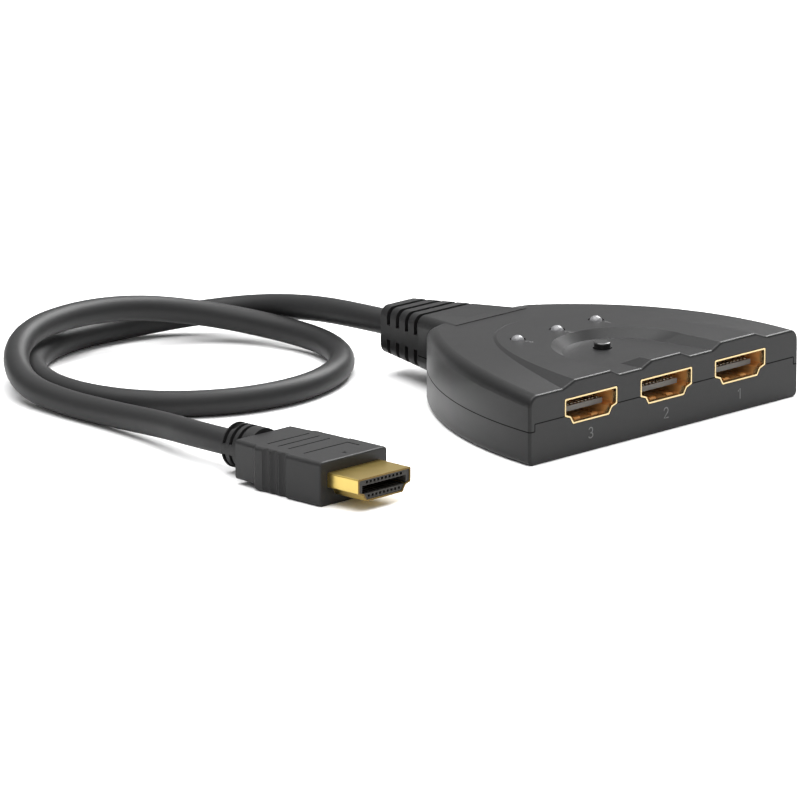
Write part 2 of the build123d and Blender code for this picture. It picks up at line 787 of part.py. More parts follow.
# Tactile switch under the button: moulded base, sheet cover, plunger, snap dome and terminals
switch_base_top_z = board_top_z + switch_base_height
well_floor_z = board_top_z + switch_base_floor
plunger_flange_top_z = switch_base_top_z - plunger_clearance
plunger_flange_z = plunger_flange_top_z - plunger_flange_height
with BuildPart() as switch_base:
    with BuildSketch(Plane.XY.offset(board_top_z)):
        with Locations((0, run(button_run))):
            Rectangle(switch_width, switch_width)
    extrude(amount=switch_base_height)
    with BuildSketch(Plane.XY.offset(well_floor_z)):
        with Locations((0, run(button_run))):
            Circle(switch_well_radius)
    extrude(amount=switch_base_height - switch_base_floor, mode=Mode.SUBTRACT)
switch_base.part.label = "switch_base"
export_step(switch_base.part, "parts/switch_base.step")

with BuildPart() as switch_cover:
    with BuildSketch(Plane.XY.offset(switch_base_top_z)):
        with Locations((0, run(button_run))):
            Rectangle(switch_width, switch_width)
            Circle(plunger_radius + plunger_clearance, mode=Mode.SUBTRACT)
    extrude(amount=switch_cover_thickness)
    with BuildSketch(Plane.XY.offset(switch_base_top_z - cover_tab_height)):
        with Locations(*[(0, run(button_run) + side * (switch_width + switch_cover_thickness) / 2)
                         for side in (-1, 1)]):
            Rectangle(cover_tab_width, switch_cover_thickness)
    extrude(amount=cover_tab_height + switch_cover_thickness)
switch_cover.part.label = "switch_cover"
export_step(switch_cover.part, "parts/switch_cover.step")

with BuildPart() as switch_plunger:
    for low_z, high_z, radius in ((plunger_flange_z, plunger_flange_top_z, plunger_flange_radius),
                                  (plunger_flange_top_z, plunger_top_z, plunger_radius)):
        with BuildSketch(Plane.XY.offset(low_z)):
            with Locations((0, run(button_run))):
                Circle(radius)
        extrude(amount=high_z - low_z)
switch_plunger.part.label = "switch_plunger"
export_step(switch_plunger.part, "parts/switch_plunger.step")

dome_rise = plunger_flange_z - well_floor_z
dome_ball_radius = (dome_radius ** 2 + dome_rise ** 2) / (2 * dome_rise)
with BuildPart() as switch_dome:
    with Locations((0, run(button_run), plunger_flange_z - dome_ball_radius)):
        Sphere(dome_ball_radius)
        Sphere(dome_ball_radius - dome_sheet, mode=Mode.SUBTRACT)
    with BuildSketch(Plane.XY.offset(well_floor_z)):
        with Locations((0, run(button_run))):
            Circle(switch_well_radius)
    extrude(amount=dome_rise, mode=Mode.INTERSECT)
switch_dome.part.label = "switch_dome"
export_step(switch_dome.part, "parts/switch_dome.step")

with BuildPart() as switch_terminals:
    with BuildSketch(Plane.XY.offset(board_top_z)):
        with Locations(*[(side * (switch_width + terminal_length) / 2, run(button_run) + end * terminal_pitch / 2)
                         for side in (-1, 1) for end in (-1, 1)]):
            Rectangle(terminal_length, terminal_width)
    extrude(amount=terminal_thickness)
switch_terminals.part.label = "switch_terminals"
export_step(switch_terminals.part, "parts/switch_terminals.step")

# Parts on the board
with BuildPart() as switch_chip:
    with BuildSketch(Plane.XY.offset(board_top_z + chip_stand_off)):
        with Locations((chip_place, run(chip_run))):
            Rectangle(chip_width, chip_width)
    extrude(amount=chip_height)
    with BuildSketch(Plane.XY.offset(board_top_z + chip_stand_off + chip_height)):
        corner = chip_width / 2 - 2 * chip_mark_radius
        with Locations((chip_place - corner, run(chip_run) - corner)):
            Circle(chip_mark_radius)
    extrude(amount=-chip_mark_depth, mode=Mode.SUBTRACT)
switch_chip.part.label = "switch_chip"
export_step(switch_chip.part, "parts/switch_chip.step")

# One bent lead of the chip, drawn about the middle of the chip
with BuildPart() as chip_lead:
    lead_top_z = board_top_z + chip_stand_off + chip_height / 2
    lead_start = chip_width / 2
    knee = lead_start + chip_lead_knee
    lead_end = lead_start + chip_lead_length
    with BuildSketch(Plane.YZ):
        with BuildLine():
            Polyline((lead_start, lead_top_z), (knee, lead_top_z), (knee, board_top_z + chip_lead_thickness),
                     (lead_end, board_top_z + chip_lead_thickness), (lead_end, board_top_z),
                     (knee - chip_lead_thickness, board_top_z),
                     (knee - chip_lead_thickness, lead_top_z - chip_lead_thickness),
                     (lead_start, lead_top_z - chip_lead_thickness), (lead_start, lead_top_z))
        make_face()
    extrude(amount=chip_lead_width / 2, both=True)

lead_row = [chip_lead_pitch * (index - (chip_lead_count - 1) / 2) for index in range(chip_lead_count)]
with BuildPart() as chip_leads:
    with Locations((chip_place, run(chip_run))):
        for quarter in range(4):
            with Locations(Location((0, 0, 0), (0, 0, 90 * quarter))):
                with Locations(*[(step, 0) for step in lead_row]):
                    add(chip_lead.part)
chip_leads.part.label = "chip_leads"
export_step(chip_leads.part, "parts/chip_leads.step")

with BuildPart() as crystal:
    for height, brim in ((crystal_brim_height, crystal_brim), (crystal_height, 0)):
        with BuildSketch(Plane.XY.offset(board_top_z)):
            with Locations((crystal_place, run(crystal_run))):
                SlotOverall(crystal_length + 2 * brim, crystal_width + 2 * brim)
        extrude(amount=height)
crystal.part.label = "crystal"
export_step(crystal.part, "parts/crystal.step")

with BuildPart() as regulator:
    with BuildSketch(Plane.XY.offset(board_top_z)):
        with Locations((regulator_place, run(regulator_run))):
            Rectangle(regulator_width, regulator_length)
    extrude(amount=regulator_height)
regulator.part.label = "regulator"
export_step(regulator.part, "parts/regulator.step")

with BuildPart() as regulator_leads:
    with BuildSketch(Plane.XY.offset(board_top_z)):
        with Locations((regulator_place, run(regulator_run) + regulator_length / 2)):
            Rectangle(regulator_width / 2, regulator_tab_length, align=(Align.CENTER, Align.MIN))
        with Locations(*[(regulator_place + step * regulator_lead_pitch, run(regulator_run) - regulator_length / 2)
                         for step in (-1, 0, 1)]):
            Rectangle(regulator_lead_width, regulator_tab_length, align=(Align.CENTER, Align.MAX))
    extrude(amount=regulator_sheet)
regulator_leads.part.label = "regulator_leads"
export_step(regulator_leads.part, "parts/regulator_leads.step")

with BuildPart() as capacitors:
    with BuildSketch(Plane.XY.offset(board_top_z)):
        with Locations(*[(chip_part_pitch * (index - (capacitor_count - 1) / 2), run(capacitor_run))
                         for index in range(capacitor_count)]):
            Rectangle(capacitor_width, capacitor_length)
    extrude(amount=capacitor_height)
capacitors.part.label = "capacitors"
export_step(capacitors.part, "parts/capacitors.step")

with BuildPart() as resistors:
    with BuildSketch(Plane.XY.offset(board_top_z)):
        with Locations(*[(resistor_row_place + chip_part_pitch * (index - (resistor_count - 1) / 2),
                          run(resistor_run)) for index in range(resistor_count)]):
            Rectangle(resistor_width, resistor_length)
    extrude(amount=resistor_height)
resistors.part.label = "resistors"
export_step(resistors.part, "parts/resistors.step")

# Strain relief: a flared, grooved body behind the neck, with a core and a flange held by the shells
with BuildPart() as strain_relief:
    for distance in (relief_front_run, overall_length):
        with BuildSketch(relief_plane(distance)):
            add(relief_section(distance))
    loft(ruled=True)
    for index in range(groove_count):
        groove_run = overall_length - groove_end_distance - groove_pitch * index
        with BuildSketch(relief_plane(groove_run - groove_width / 2)):
            add(relief_section(0))
            add(relief_section(groove_run, groove_depth), mode=Mode.SUBTRACT)
            Rectangle(housing_width, groove_bridge_height, mode=Mode.SUBTRACT)
        extrude(amount=-groove_width, mode=Mode.SUBTRACT)
    with BuildSketch(relief_plane(relief_core_run)):
        RectangleRounded(2 * relief_core_half_width, 2 * relief_core_half_height, relief_core_radius)
    extrude(amount=relief_core_run - relief_front_run)
    with BuildSketch(relief_plane(relief_flange_run)):
        with Locations((0, relief_flange_rise)):
            Rectangle(2 * relief_flange_half_width, relief_flange_rise + relief_flange_fall,
                      align=(Align.CENTER, Align.MAX))
    extrude(amount=-relief_flange_length)
    with BuildSketch(relief_plane(relief_core_run)):
        Circle(cord_radius)
    extrude(amount=relief_core_run - overall_length, mode=Mode.SUBTRACT)
strain_relief.part.label = "strain_relief"
export_step(strain_relief.part, "parts/strain_relief.step")

with BuildPart() as lead_tail:
    with BuildSketch(relief_plane(cord_tail_run)):
        Circle(cord_radius)
    extrude(amount=cord_tail_run - overall_length)
lead_tail.part.label = "lead_tail"
export_step(lead_tail.part, "parts/lead_tail.step")

with BuildPart() as lead_clamp:
    with BuildSketch(relief_plane(clamp_run)):
        Circle(cord_radius + clamp_thickness)
        Circle(cord_radius, mode=Mode.SUBTRACT)
    extrude(amount=-clamp_length)
lead_clamp.part.label = "lead_clamp"
export_step(lead_clamp.part, "parts/lead_clamp.step")

# Inner wires of the lead, which bend down and lie flat on the board
with BuildPart() as lead_wires:
    wire_z = board_top_z + wire_diameter / 2
    for index in range(wire_count):
        step = index - (wire_count - 1) / 2
        with BuildLine() as wire_path:
            FilletPolyline((step * wire_pitch, run(cord_tail_run), relief_axis_z),
                           (step * wire_pitch, run(cord_tail_run - wire_straight), relief_axis_z),
                           (step * wire_board_pitch, run(board_rear_run + wire_landing), wire_z),
                           (step * wire_board_pitch, run(board_rear_run - wire_landing), wire_z), radius=wire_bend_radius)
        with BuildSketch(Plane(origin=wire_path.line @ 0, z_dir=wire_path.line % 0)):
            Circle(wire_diameter / 2)
        sweep(path=wire_path.line)
lead_wires.part.label = "lead_wires"
export_step(lead_wires.part, "parts/lead_wires.step")

# Free stretch of the lead: it hangs down behind the box, lies in a double loop and rises to the plug
lead_route = [
    (0, run(overall_length), relief_axis_z),
    (0, 48.0, relief_axis_z), (1.5, 61.5, 8.0), (0.5, 75.5, 6.1), (-7.0, 86.5, 4.0), (-18.0, 92.5, 2.6),
    (-32.0, 93.5, 2.6), (-46.0, 89.5, 2.6), (-57.0, 81.0, 2.6), (-64.0, 68.5, 2.6), (-65.5, 54.5, 2.6),
    (-60.0, 41.5, 2.6), (-48.5, 33.0, 2.6), (-34.0, 30.5, 2.6), (-20.0, 34.0, 2.6), (-8.5, 42.0, 2.6),
    (-2.0, 54.0, 2.9), (-2.5, 68.0, 3.7), (-9.5, 80.0, 5.6), (-21.5, 87.5, 7.8), (-36.5, 89.5, 8.6),
    (-52.0, 86.5, 8.4), (-63.0, 79.5, 6.4), (-70.0, 69.0, 3.6), (-71.5, 56.5, 2.6), (-72.0, 42.0, 2.8),
    (-74.0, 26.5, 3.9), (plug_place_x, 13.5, plug_relief_axis_z),
    (plug_place_x, plug_front_y + plug_length + plug_relief_end, plug_relief_axis_z),
]


def bend_radius(before, corner, after):
    """Give the radius whose arc takes nine tenths of half the shorter run at a bend."""
    incoming = Vector(*corner) - Vector(*before)
    outgoing = Vector(*after) - Vector(*corner)
    turn = math.radians(incoming.get_angle(outgoing))
    return bend_share * min(incoming.length, outgoing.length) / math.tan(turn / 2)


lead_radii = [bend_radius(*points) for points in zip(lead_route, lead_route[1:], lead_route[2:])]
print("lead bend radii:", [round(radius, 1) for radius in lead_radii])

with BuildPart() as lead:
    with BuildLine() as lead_path:
        FilletPolyline(*lead_route, radius=lead_radii)
    with BuildSketch(Plane(origin=lead_path.line @ 0, z_dir=lead_path.line % 0)):
        Circle(cord_radius)
    sweep(path=lead_path.line)
lead_length = sum(edge.length for edge in lead_path.edges())
print("lead length:", round(lead_length, 2), "volume:", round(lead.part.volume, 1),
      "section by length:", round(math.pi * cord_radius ** 2 * lead_length, 1))
lead.part.label = "lead"
export_step(lead.part, "parts/lead.step")

# Output plug: grip moulded over the metal shell, with its own ribbed strain relief
plug_top_z = plug_axis_z + plug_height / 2
plug_bottom_z = plug_axis_z - plug_height / 2
plug_grip_end = plug_front_length + plug_grip_length
plug_shell_z = plug_axis_z - plug_shell_drop
rear_height = plug_height - plug_rear_lift
with BuildPart() as plug_grip:
    with BuildSketch(plug_plane(0, plug_axis_z)):
        RectangleRounded(plug_front_width, plug_height, plug_edge_radius)
    extrude(amount=-plug_front_length)
    front_edges = plug_grip.faces().sort_by(Axis.Y)[0].edges()
    fillet(front_edges, radius=plug_front_edge_radius)
    with BuildSketch(plug_plane(plug_front_length, plug_axis_z)):
        RectangleRounded(plug_grip_width, plug_height, plug_edge_radius)
    extrude(amount=-plug_grip_length)
    for sections in (((plug_grip_end, plug_grip_width, plug_height, plug_axis_z),
                      (plug_grip_end + plug_step_length, plug_rear_width, rear_height, plug_top_z - rear_height / 2)),
                     ((plug_grip_end + plug_step_length, plug_rear_width, rear_height, plug_top_z - rear_height / 2),
                      (plug_length, plug_end_width, rear_height, plug_top_z - rear_height / 2))):
        for distance, width, height, middle_z in sections:
            with BuildSketch(plug_plane(distance, middle_z)):
                RectangleRounded(width, height, plug_edge_radius)
        loft(ruled=True)
    # Finger scallops in both sides of the grip
    scallop_centre = plug_scallop_radius - plug_scallop_depth + plug_grip_width / 2
    with BuildSketch(Plane.XY.offset(plug_bottom_z)):
        with Locations(*[(plug_place_x + side * scallop_centre,
                          plug_front_y + plug_front_length + plug_scallop_pitch * (index + 1 / 2))
                         for side in (-1, 1) for index in range(plug_scallop_count)]):
            Circle(plug_scallop_radius)
    extrude(amount=plug_height, mode=Mode.SUBTRACT)
    # Cross grooves, a bent line and an arrow mark engraved in the top
    with BuildSketch(Plane.XY.offset(plug_top_z)):
        with Locations(*[(plug_place_x, plug_front_y + plug_groove_run + plug_groove_pitch * index)
                         for index in range(plug_groove_count)]):
            Rectangle(plug_groove_length, plug_groove_width)
        with Locations((plug_place_x, plug_front_y + plug_line_run)):
            Rectangle(2 * plug_line_half_width, plug_groove_width)
        with Locations((plug_place_x + plug_line_half_width - plug_groove_width / 2,
                        plug_front_y + plug_line_front_run)):
            Rectangle(plug_groove_width, plug_line_run - plug_line_front_run, align=(Align.CENTER, Align.MIN))
        with Locations(Location((plug_place_x, plug_front_y + plug_mark_run, 0), (0, 0, -90))):
            RegularPolygon(plug_mark_radius, 3)
    extrude(amount=-plug_groove_depth, mode=Mode.SUBTRACT)
    # Round strain relief, a barrel with open rings and a tapering tip
    with BuildSketch(plug_plane(plug_length, plug_relief_axis_z)):
        Circle(plug_relief_radius)
    extrude(amount=-plug_relief_barrel)
    for distance, radius in ((plug_relief_barrel, plug_relief_radius), (plug_relief_end, plug_relief_tip_radius)):
        with BuildSketch(plug_plane(plug_length + distance, plug_relief_axis_z)):
            Circle(radius)
    loft(ruled=True)
    for index in range(plug_ring_count):
        with BuildSketch(plug_plane(plug_length + plug_ring_setback + plug_ring_pitch * index, plug_relief_axis_z)):
            Circle(plug_relief_radius + overrun)
            Circle(plug_relief_radius - plug_ring_depth, mode=Mode.SUBTRACT)
            Rectangle(housing_width, plug_ring_bridge, mode=Mode.SUBTRACT)
        extrude(amount=-plug_ring_width, mode=Mode.SUBTRACT)
    # Seat of the metal shell
    with BuildSketch(plug_plane(0)):
        with Locations((0, plug_shell_z)):
            add(connector_outline(plug_shell_width, plug_shell_height))
    extrude(amount=-plug_shell_root, mode=Mode.SUBTRACT)
plug_grip.part.label = "plug_grip"
export_step(plug_grip.part, "parts/plug_grip.step")

with BuildPart() as plug_shell:
    with BuildSketch(plug_plane(-plug_shell_reach)):
        with Locations((0, plug_shell_z)):
            add(connector_outline(plug_shell_width, plug_shell_height))
            add(connector_outline(plug_shell_width, plug_shell_height, -sheet), mode=Mode.SUBTRACT)
    extrude(amount=-(plug_shell_reach + plug_shell_root))
plug_shell.part.label = "plug_shell"
export_step(plug_shell.part, "parts/plug_shell.step")

# Contacts on the upper and the lower wall of the slot
plug_slot_z = plug_shell_z + plug_slot_rise
plug_face_run = plug_face_recess - plug_shell_reach
with BuildPart() as plug_contacts:
    for count, seat_z in ((top_contact_count, plug_slot_z + plug_slot_height / 2),
                          (bottom_contact_count, plug_slot_z - plug_slot_height / 2 - contact_thickness)):
        with BuildSketch(plug_plane(plug_face_run + plug_contact_setback)):
            with Locations(*[(contact_pitch * (index - (count - 1) / 2), seat_z + contact_thickness / 2)
                             for index in range(count)]):
                Rectangle(contact_width, contact_thickness)
        extrude(amount=-(plug_slot_depth - plug_contact_setback))
plug_contacts.part.label = "plug_contacts"
export_step(plug_contacts.part, "parts/plug_contacts.step")

with BuildPart() as plug_insulator:
    with BuildSketch(plug_plane(plug_face_run)):
        with Locations((0, plug_shell_z)):
            add(connector_outline(plug_shell_width, plug_shell_height, -sheet))
    extrude(amount=plug_face_run - plug_shell_root)
    with BuildSketch(plug_plane(plug_face_run)):
        with Locations((0, plug_slot_z)):
            Rectangle(plug_slot_width, plug_slot_height)
    extrude(amount=-plug_slot_depth, mode=Mode.SUBTRACT)
    # Mouths of the contact channels in the front face
    with BuildSketch(plug_plane(plug_face_run)):
        for count, side in ((top_contact_count, 1), (bottom_contact_count, -1)):
            hole_z = plug_slot_z + side * (plug_slot_height / 2 + plug_hole_edge + plug_hole_height / 2)
            with Locations(*[(contact_pitch * (index - (count - 1) / 2), hole_z) for index in range(count)]):
                Rectangle(plug_hole_width, plug_hole_height)
    extrude(amount=-plug_hole_depth, mode=Mode.SUBTRACT)
    add(plug_contacts.part, mode=Mode.SUBTRACT)
plug_insulator.part.label = "plug_insulator"
export_step(plug_insulator.part, "parts/plug_insulator.step")
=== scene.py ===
"""Looks of a three-input video switch box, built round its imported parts.

Lengths are in metres and angles in degrees unless a name says otherwise. X runs along the front
edge from the third to the first socket, Y from the sockets to the lead, Z up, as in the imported
model. Each sub-assembly is a class that dresses its own parts and adds the pieces that the frame
leaves out.
"""

import json
import logging
from dataclasses import dataclass, field
from enum import Enum
from typing import Mapping, Optional, Union

import bpy
import numpy as np
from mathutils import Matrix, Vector

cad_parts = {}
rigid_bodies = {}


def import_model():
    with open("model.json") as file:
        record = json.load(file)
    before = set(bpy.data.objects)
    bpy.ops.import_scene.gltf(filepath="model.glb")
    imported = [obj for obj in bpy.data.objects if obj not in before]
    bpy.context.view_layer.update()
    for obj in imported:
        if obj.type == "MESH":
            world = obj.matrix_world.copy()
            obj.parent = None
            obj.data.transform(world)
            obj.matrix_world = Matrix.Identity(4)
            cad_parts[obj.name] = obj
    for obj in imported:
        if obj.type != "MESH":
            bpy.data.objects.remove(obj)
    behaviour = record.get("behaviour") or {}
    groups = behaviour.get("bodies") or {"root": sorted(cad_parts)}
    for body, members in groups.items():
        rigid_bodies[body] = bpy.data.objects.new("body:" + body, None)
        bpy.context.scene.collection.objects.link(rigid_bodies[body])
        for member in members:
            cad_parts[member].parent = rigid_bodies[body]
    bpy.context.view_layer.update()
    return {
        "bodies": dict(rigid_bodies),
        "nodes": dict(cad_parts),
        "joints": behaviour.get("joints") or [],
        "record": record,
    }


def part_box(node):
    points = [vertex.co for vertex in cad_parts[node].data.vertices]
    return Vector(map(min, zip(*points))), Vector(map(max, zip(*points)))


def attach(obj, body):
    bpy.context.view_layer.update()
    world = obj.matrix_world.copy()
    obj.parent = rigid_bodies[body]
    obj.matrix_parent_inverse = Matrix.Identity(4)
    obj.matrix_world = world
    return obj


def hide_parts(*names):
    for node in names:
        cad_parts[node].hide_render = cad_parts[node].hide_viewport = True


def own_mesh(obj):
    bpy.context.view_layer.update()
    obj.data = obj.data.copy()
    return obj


MM = 0.001
NUMBERS = range(1, 4)
Colour = tuple[float, float, float]
Point = tuple[float, float, float]
Run = tuple[tuple[float, float], ...]
Number = Union[float, "Signal"]
Inputs = Mapping[Union[int, str], object]
log = logging.getLogger("switch_box")


@dataclass(frozen=True)
class Signal:
    """One output of a shader node; arithmetic on it adds Math nodes to the same graph."""

    graph: "Graph"
    socket: bpy.types.NodeSocket

    def __add__(self, other: Number) -> "Signal":
        """Add a value to the signal."""
        return self.graph.math("ADD", self, other)

    def __radd__(self, other: Number) -> "Signal":
        """Add the signal to a value."""
        return self.graph.math("ADD", other, self)

    def __sub__(self, other: Number) -> "Signal":
        """Subtract a value from the signal."""
        return self.graph.math("SUBTRACT", self, other)

    def __rsub__(self, other: Number) -> "Signal":
        """Subtract the signal from a value."""
        return self.graph.math("SUBTRACT", other, self)

    def __mul__(self, other: Number) -> "Signal":
        """Multiply the signal by a value."""
        return self.graph.math("MULTIPLY", self, other)

    def __rmul__(self, other: Number) -> "Signal":
        """Multiply a value by the signal."""
        return self.graph.math("MULTIPLY", other, self)

    def __abs__(self) -> "Signal":
        """Drop the signal's sign."""
        return self.graph.math("ABSOLUTE", self)

    def under(self, limit: Number) -> "Signal":
        """Give 1 where the signal is below a limit and 0 elsewhere."""
        return self.graph.math("LESS_THAN", self, limit)

    def over(self, limit: Number) -> "Signal":
        """Give 1 where the signal is above a limit and 0 elsewhere."""
        return self.graph.math("GREATER_THAN", self, limit)

    def fade(self, low: float, high: float) -> "Signal":
        """Rise smoothly from 0 at low to 1 at high."""
        return self.graph.signal("ShaderNodeMapRange",
                                 {"Value": self, "From Min": low, "From Max": high},
                                 interpolation_type="SMOOTHSTEP")


class Graph:
    """Builds the node tree of a material or of the world.

    A Mix node has sockets of one name for numbers, vectors and colours, so those for colours are
    taken by their numbers.
    """

    mix_colours: tuple[int, int] = (6, 7)
    mix_result: int = 2
    joint_colour: Colour = (0.0015, 0.0015, 0.0015)

    def __init__(self, owner: Union[bpy.types.Material, bpy.types.World]) -> None:
        """Start with an empty tree.

        Args:
            owner: The material or the world.
        """
        owner.use_nodes = True
        self.tree = owner.node_tree
        self.tree.nodes.clear()

    def feed(self, value: object, target: bpy.types.NodeSocket) -> None:
        """Link a signal to an input, or set the input to a constant.

        Args:
            value: A signal, a number, a vector, or a colour without its alpha.
            target: The input.
        """
        if isinstance(value, Signal):
            self.tree.links.new(value.socket, target)
        elif isinstance(value, tuple) and len(target.default_value) == len(value) + 1:
            target.default_value = (*value, 1.0)
        else:
            target.default_value = value

    def node(self, kind: str, inputs: Inputs, **settings: object) -> bpy.types.Node:
        """Add a node.

        Args:
            kind: The node's type.
            inputs: Values or signals by the name or number of the input.
            settings: Properties of the node, which are set before its inputs.

        Returns:
            The node.
        """
        made = self.tree.nodes.new(kind)
        for key, value in settings.items():
            setattr(made, key, value)
        for key, value in inputs.items():
            self.feed(value, made.inputs[key])
        return made

    def signal(self, kind: str, inputs: Inputs, output: Union[int, str] = 0,
               **settings: object) -> Signal:
        """Add a node and give one of its outputs.

        Args:
            kind: The node's type.
            inputs: Values or signals by the name or number of the input.
            output: The name or number of the output.
            settings: Properties of the node.

        Returns:
            The output as a signal.
        """
        return Signal(self, self.node(kind, inputs, **settings).outputs[output])

    def math(self, operation: str, *values: Number) -> Signal:
        """Add a Math node."""
        return self.signal("ShaderNodeMath", dict(enumerate(values)), operation=operation)

    def position(self, stretch: Optional[Point] = None) -> Signal:
        """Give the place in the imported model's frame.

        Args:
            stretch: Factors along X, Y and Z, or None to leave the place as it is.

        Returns:
            The place in metres, times the factors.
        """
        place = self.signal("ShaderNodeTexCoord", {}, "Object")
        if stretch is None:
            return place
        return self.signal("ShaderNodeVectorMath", {0: place, 1: stretch}, operation="MULTIPLY")

    def axes(self, place: Signal) -> tuple[Signal, ...]:
        """Split a place into its three coordinates."""
        made = self.node("ShaderNodeSeparateXYZ", {0: place})
        return tuple(Signal(self, output) for output in made.outputs)

    def noise(self, place: Signal, size: float, detail: float) -> Signal:
        """Add a noise whose lumps are about a size across, in metres."""
        return self.signal("ShaderNodeTexNoise",
                           {"Vector": place, "Scale": 1.0 / size, "Detail": detail})

    def blend(self, share: Number, low: object, high: object) -> Signal:
        """Mix two colours by the share of the second one."""
        first, second = self.mix_colours
        return self.signal("ShaderNodeMix", {0: share, first: low, second: high},
                           self.mix_result, data_type="RGBA")

    def vary(self, share: Signal, colour: Colour, darker: float, lighter: float) -> Signal:
        """Let a colour vary between two factors of itself by a share."""
        return self.blend(share, scaled(colour, darker), scaled(colour, lighter))

    def bump(self, height: Signal, depth: float, below: Optional[Signal] = None) -> Signal:
        """Turn a height into relief.

        Args:
            height: The height, from 0 to 1.
            depth: The depth that a height of 1 stands for, in metres.
            below: Relief that this one lies on, if any.

        Returns:
            The relief, for a Normal input.
        """
        inputs = {"Distance": depth, "Height": height}
        if below is not None:
            inputs["Normal"] = below
        return self.signal("ShaderNodeBump", inputs)

    def surface(self, gap: Optional[Signal] = None, **inputs: object) -> None:
        """Close the graph with a Principled shader.

        Args:
            gap: Where it is 1, the surface shows the dark depth of a narrow joint instead.
            inputs: Values or signals by the shader's input names, with underscores for blanks.
        """
        named = {key.replace("_", " "): value for key, value in inputs.items()}
        closed = self.signal("ShaderNodeBsdfPrincipled", named)
        if gap is not None:
            depth = self.signal("ShaderNodeBsdfDiffuse", {"Color": self.joint_colour})
            closed = self.signal("ShaderNodeMixShader", {0: gap, 1: closed, 2: depth})
        self.node("ShaderNodeOutputMaterial", {"Surface": closed})


def scaled(colour: Colour, factor: float) -> Colour:
    """Multiply a colour by a factor."""
    return tuple(channel * factor for channel in colour)


@dataclass(frozen=True)
class Moulded:
    """Plastic with the fine grain of a spark-eroded mould."""

    colour: Colour
    roughness: float = 0.5
    roughness_swing: float = 0.10
    patch_size: float = 9 * MM
    grain_size: float = 0.16 * MM
    grain_depth: float = 0.010 * MM
    grain_share: float = 0.3
    detail: float = 3.0
    mottle: float = 0.10
    specular: float = 0.19

    def paint(self, graph: Graph) -> None:
        """Vary the colour by a slow patch and a fine grain, the roughness by the patch alone.

        Args:
            graph: The material's graph.
        """
        place = graph.position()
        patch = graph.noise(place, self.patch_size, self.detail)
        grain = graph.noise(place, self.grain_size, self.detail)
        share = patch * (1 - self.grain_share) + grain * self.grain_share
        lowest = self.roughness - self.roughness_swing / 2
        graph.surface(gap=self.gap(graph, place),
                      Base_Color=graph.vary(share, self.colour, 1 - self.mottle, 1 + self.mottle),
                      Normal=self.carve(graph, place, graph.bump(grain, self.grain_depth)),
                      Roughness=patch * self.roughness_swing + lowest,
                      Specular_IOR_Level=self.specular)

    def carve(self, graph: Graph, place: Signal, relief: Signal) -> Signal:
        """Add further relief; a plain moulding has none."""
        return relief

    def gap(self, graph: Graph, place: Signal) -> Optional[Signal]:
        """Give the joints in the surface; a plain moulding has none."""
        return None


@dataclass(frozen=True)
class PartedShell(Moulded):
    """Moulded housing plastic with the fine line where the two shells meet."""

    seam_z: float = 6.6 * MM
    front_seam_z: float = 8.05 * MM
    front_seam_half_width: float = 36.8 * MM
    front_y: float = -35.3 * MM
    front_depth: float = 0.6 * MM
    line_half_width: float = 0.10 * MM
    line_softness: float = 0.3
    line_shade: float = 0.95

    def gap(self, graph: Graph, place: Signal) -> Optional[Signal]:
        """Give the parting line, which steps up on the front face.

        The line lies where the distance to the nearest of its runs is under its half width. On the
        front it has a high run and two short upright ones, and behind the front the low run.
        Where a run doesn't count, one metre is added to its distance.

        Args:
            graph: The material's graph.
            place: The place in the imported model's frame.

        Returns:
            The line's shade, 0 beside it.
        """
        across, along, up = graph.axes(place)
        front = along.under(self.front_y + self.front_depth)
        middle = abs(across).under(self.front_seam_half_width)
        high = abs(up - self.front_seam_z) + (1.0 - front * middle)
        low = abs(up - self.seam_z) + front * middle
        between = up.over(self.seam_z) * up.under(self.front_seam_z) * front
        upright = abs(abs(across) - self.front_seam_half_width) + (1.0 - between)
        nearest = graph.math("MINIMUM", graph.math("MINIMUM", high, low), upright)
        beside = nearest.fade(self.line_half_width * (1 - self.line_softness),
                              self.line_half_width * (1 + self.line_softness))
        return (1.0 - beside) * self.line_shade


@dataclass(frozen=True)
class Jacket(Moulded):
    """Extruded cable jacket: satin, with faint marks from the die."""

    ripple_size: float = 2.2 * MM
    ripple_detail: float = 1.0
    ripple_depth: float = 0.02 * MM

    def carve(self, graph: Graph, place: Signal, relief: Signal) -> Signal:
        """Add the slow unevenness of an extruded jacket."""
        ripple = graph.noise(place, self.ripple_size, self.ripple_detail)
        return graph.bump(ripple, self.ripple_depth, relief)


@dataclass(frozen=True)
class Plated:
    """Polished or drawn metal with faint smudges and fine drawing lines along one axis."""

    colour: Colour
    roughness: float = 0.22
    smudge: float = 0.06
    cloud_size: float = 2.5 * MM
    cloud_detail: float = 3.0
    darker: float = 0.9
    lighter: float = 1.06
    drawing: Point = (1.0, 0.08, 1.0)
    line_size: float = 0.10 * MM
    line_detail: float = 2.0
    line_depth: float = 0.0004 * MM

    def paint(self, graph: Graph) -> None:
        """Vary the colour and the roughness by one cloud, and draw the lines in relief.

        Args:
            graph: The material's graph.
        """
        place = graph.position()
        cloud = graph.noise(place, self.cloud_size, self.cloud_detail)
        lines = graph.noise(graph.position(self.drawing), self.line_size, self.line_detail)
        tint = graph.vary(cloud, self.colour, self.darker, self.lighter)
        graph.surface(Base_Color=self.tone(graph, place, tint), Metallic=self.metal(graph, place),
                      Roughness=cloud * self.smudge + (self.roughness - self.smudge / 2),
                      Normal=graph.bump(lines, self.line_depth))

    def tone(self, graph: Graph, place: Signal, tint: Signal) -> Signal:
        """Change the colour by place; plain plating keeps it."""
        return tint

    def metal(self, graph: Graph, place: Signal) -> Number:
        """Give the share of bare metal by place; plain plating is bare all over."""
        return 1.0


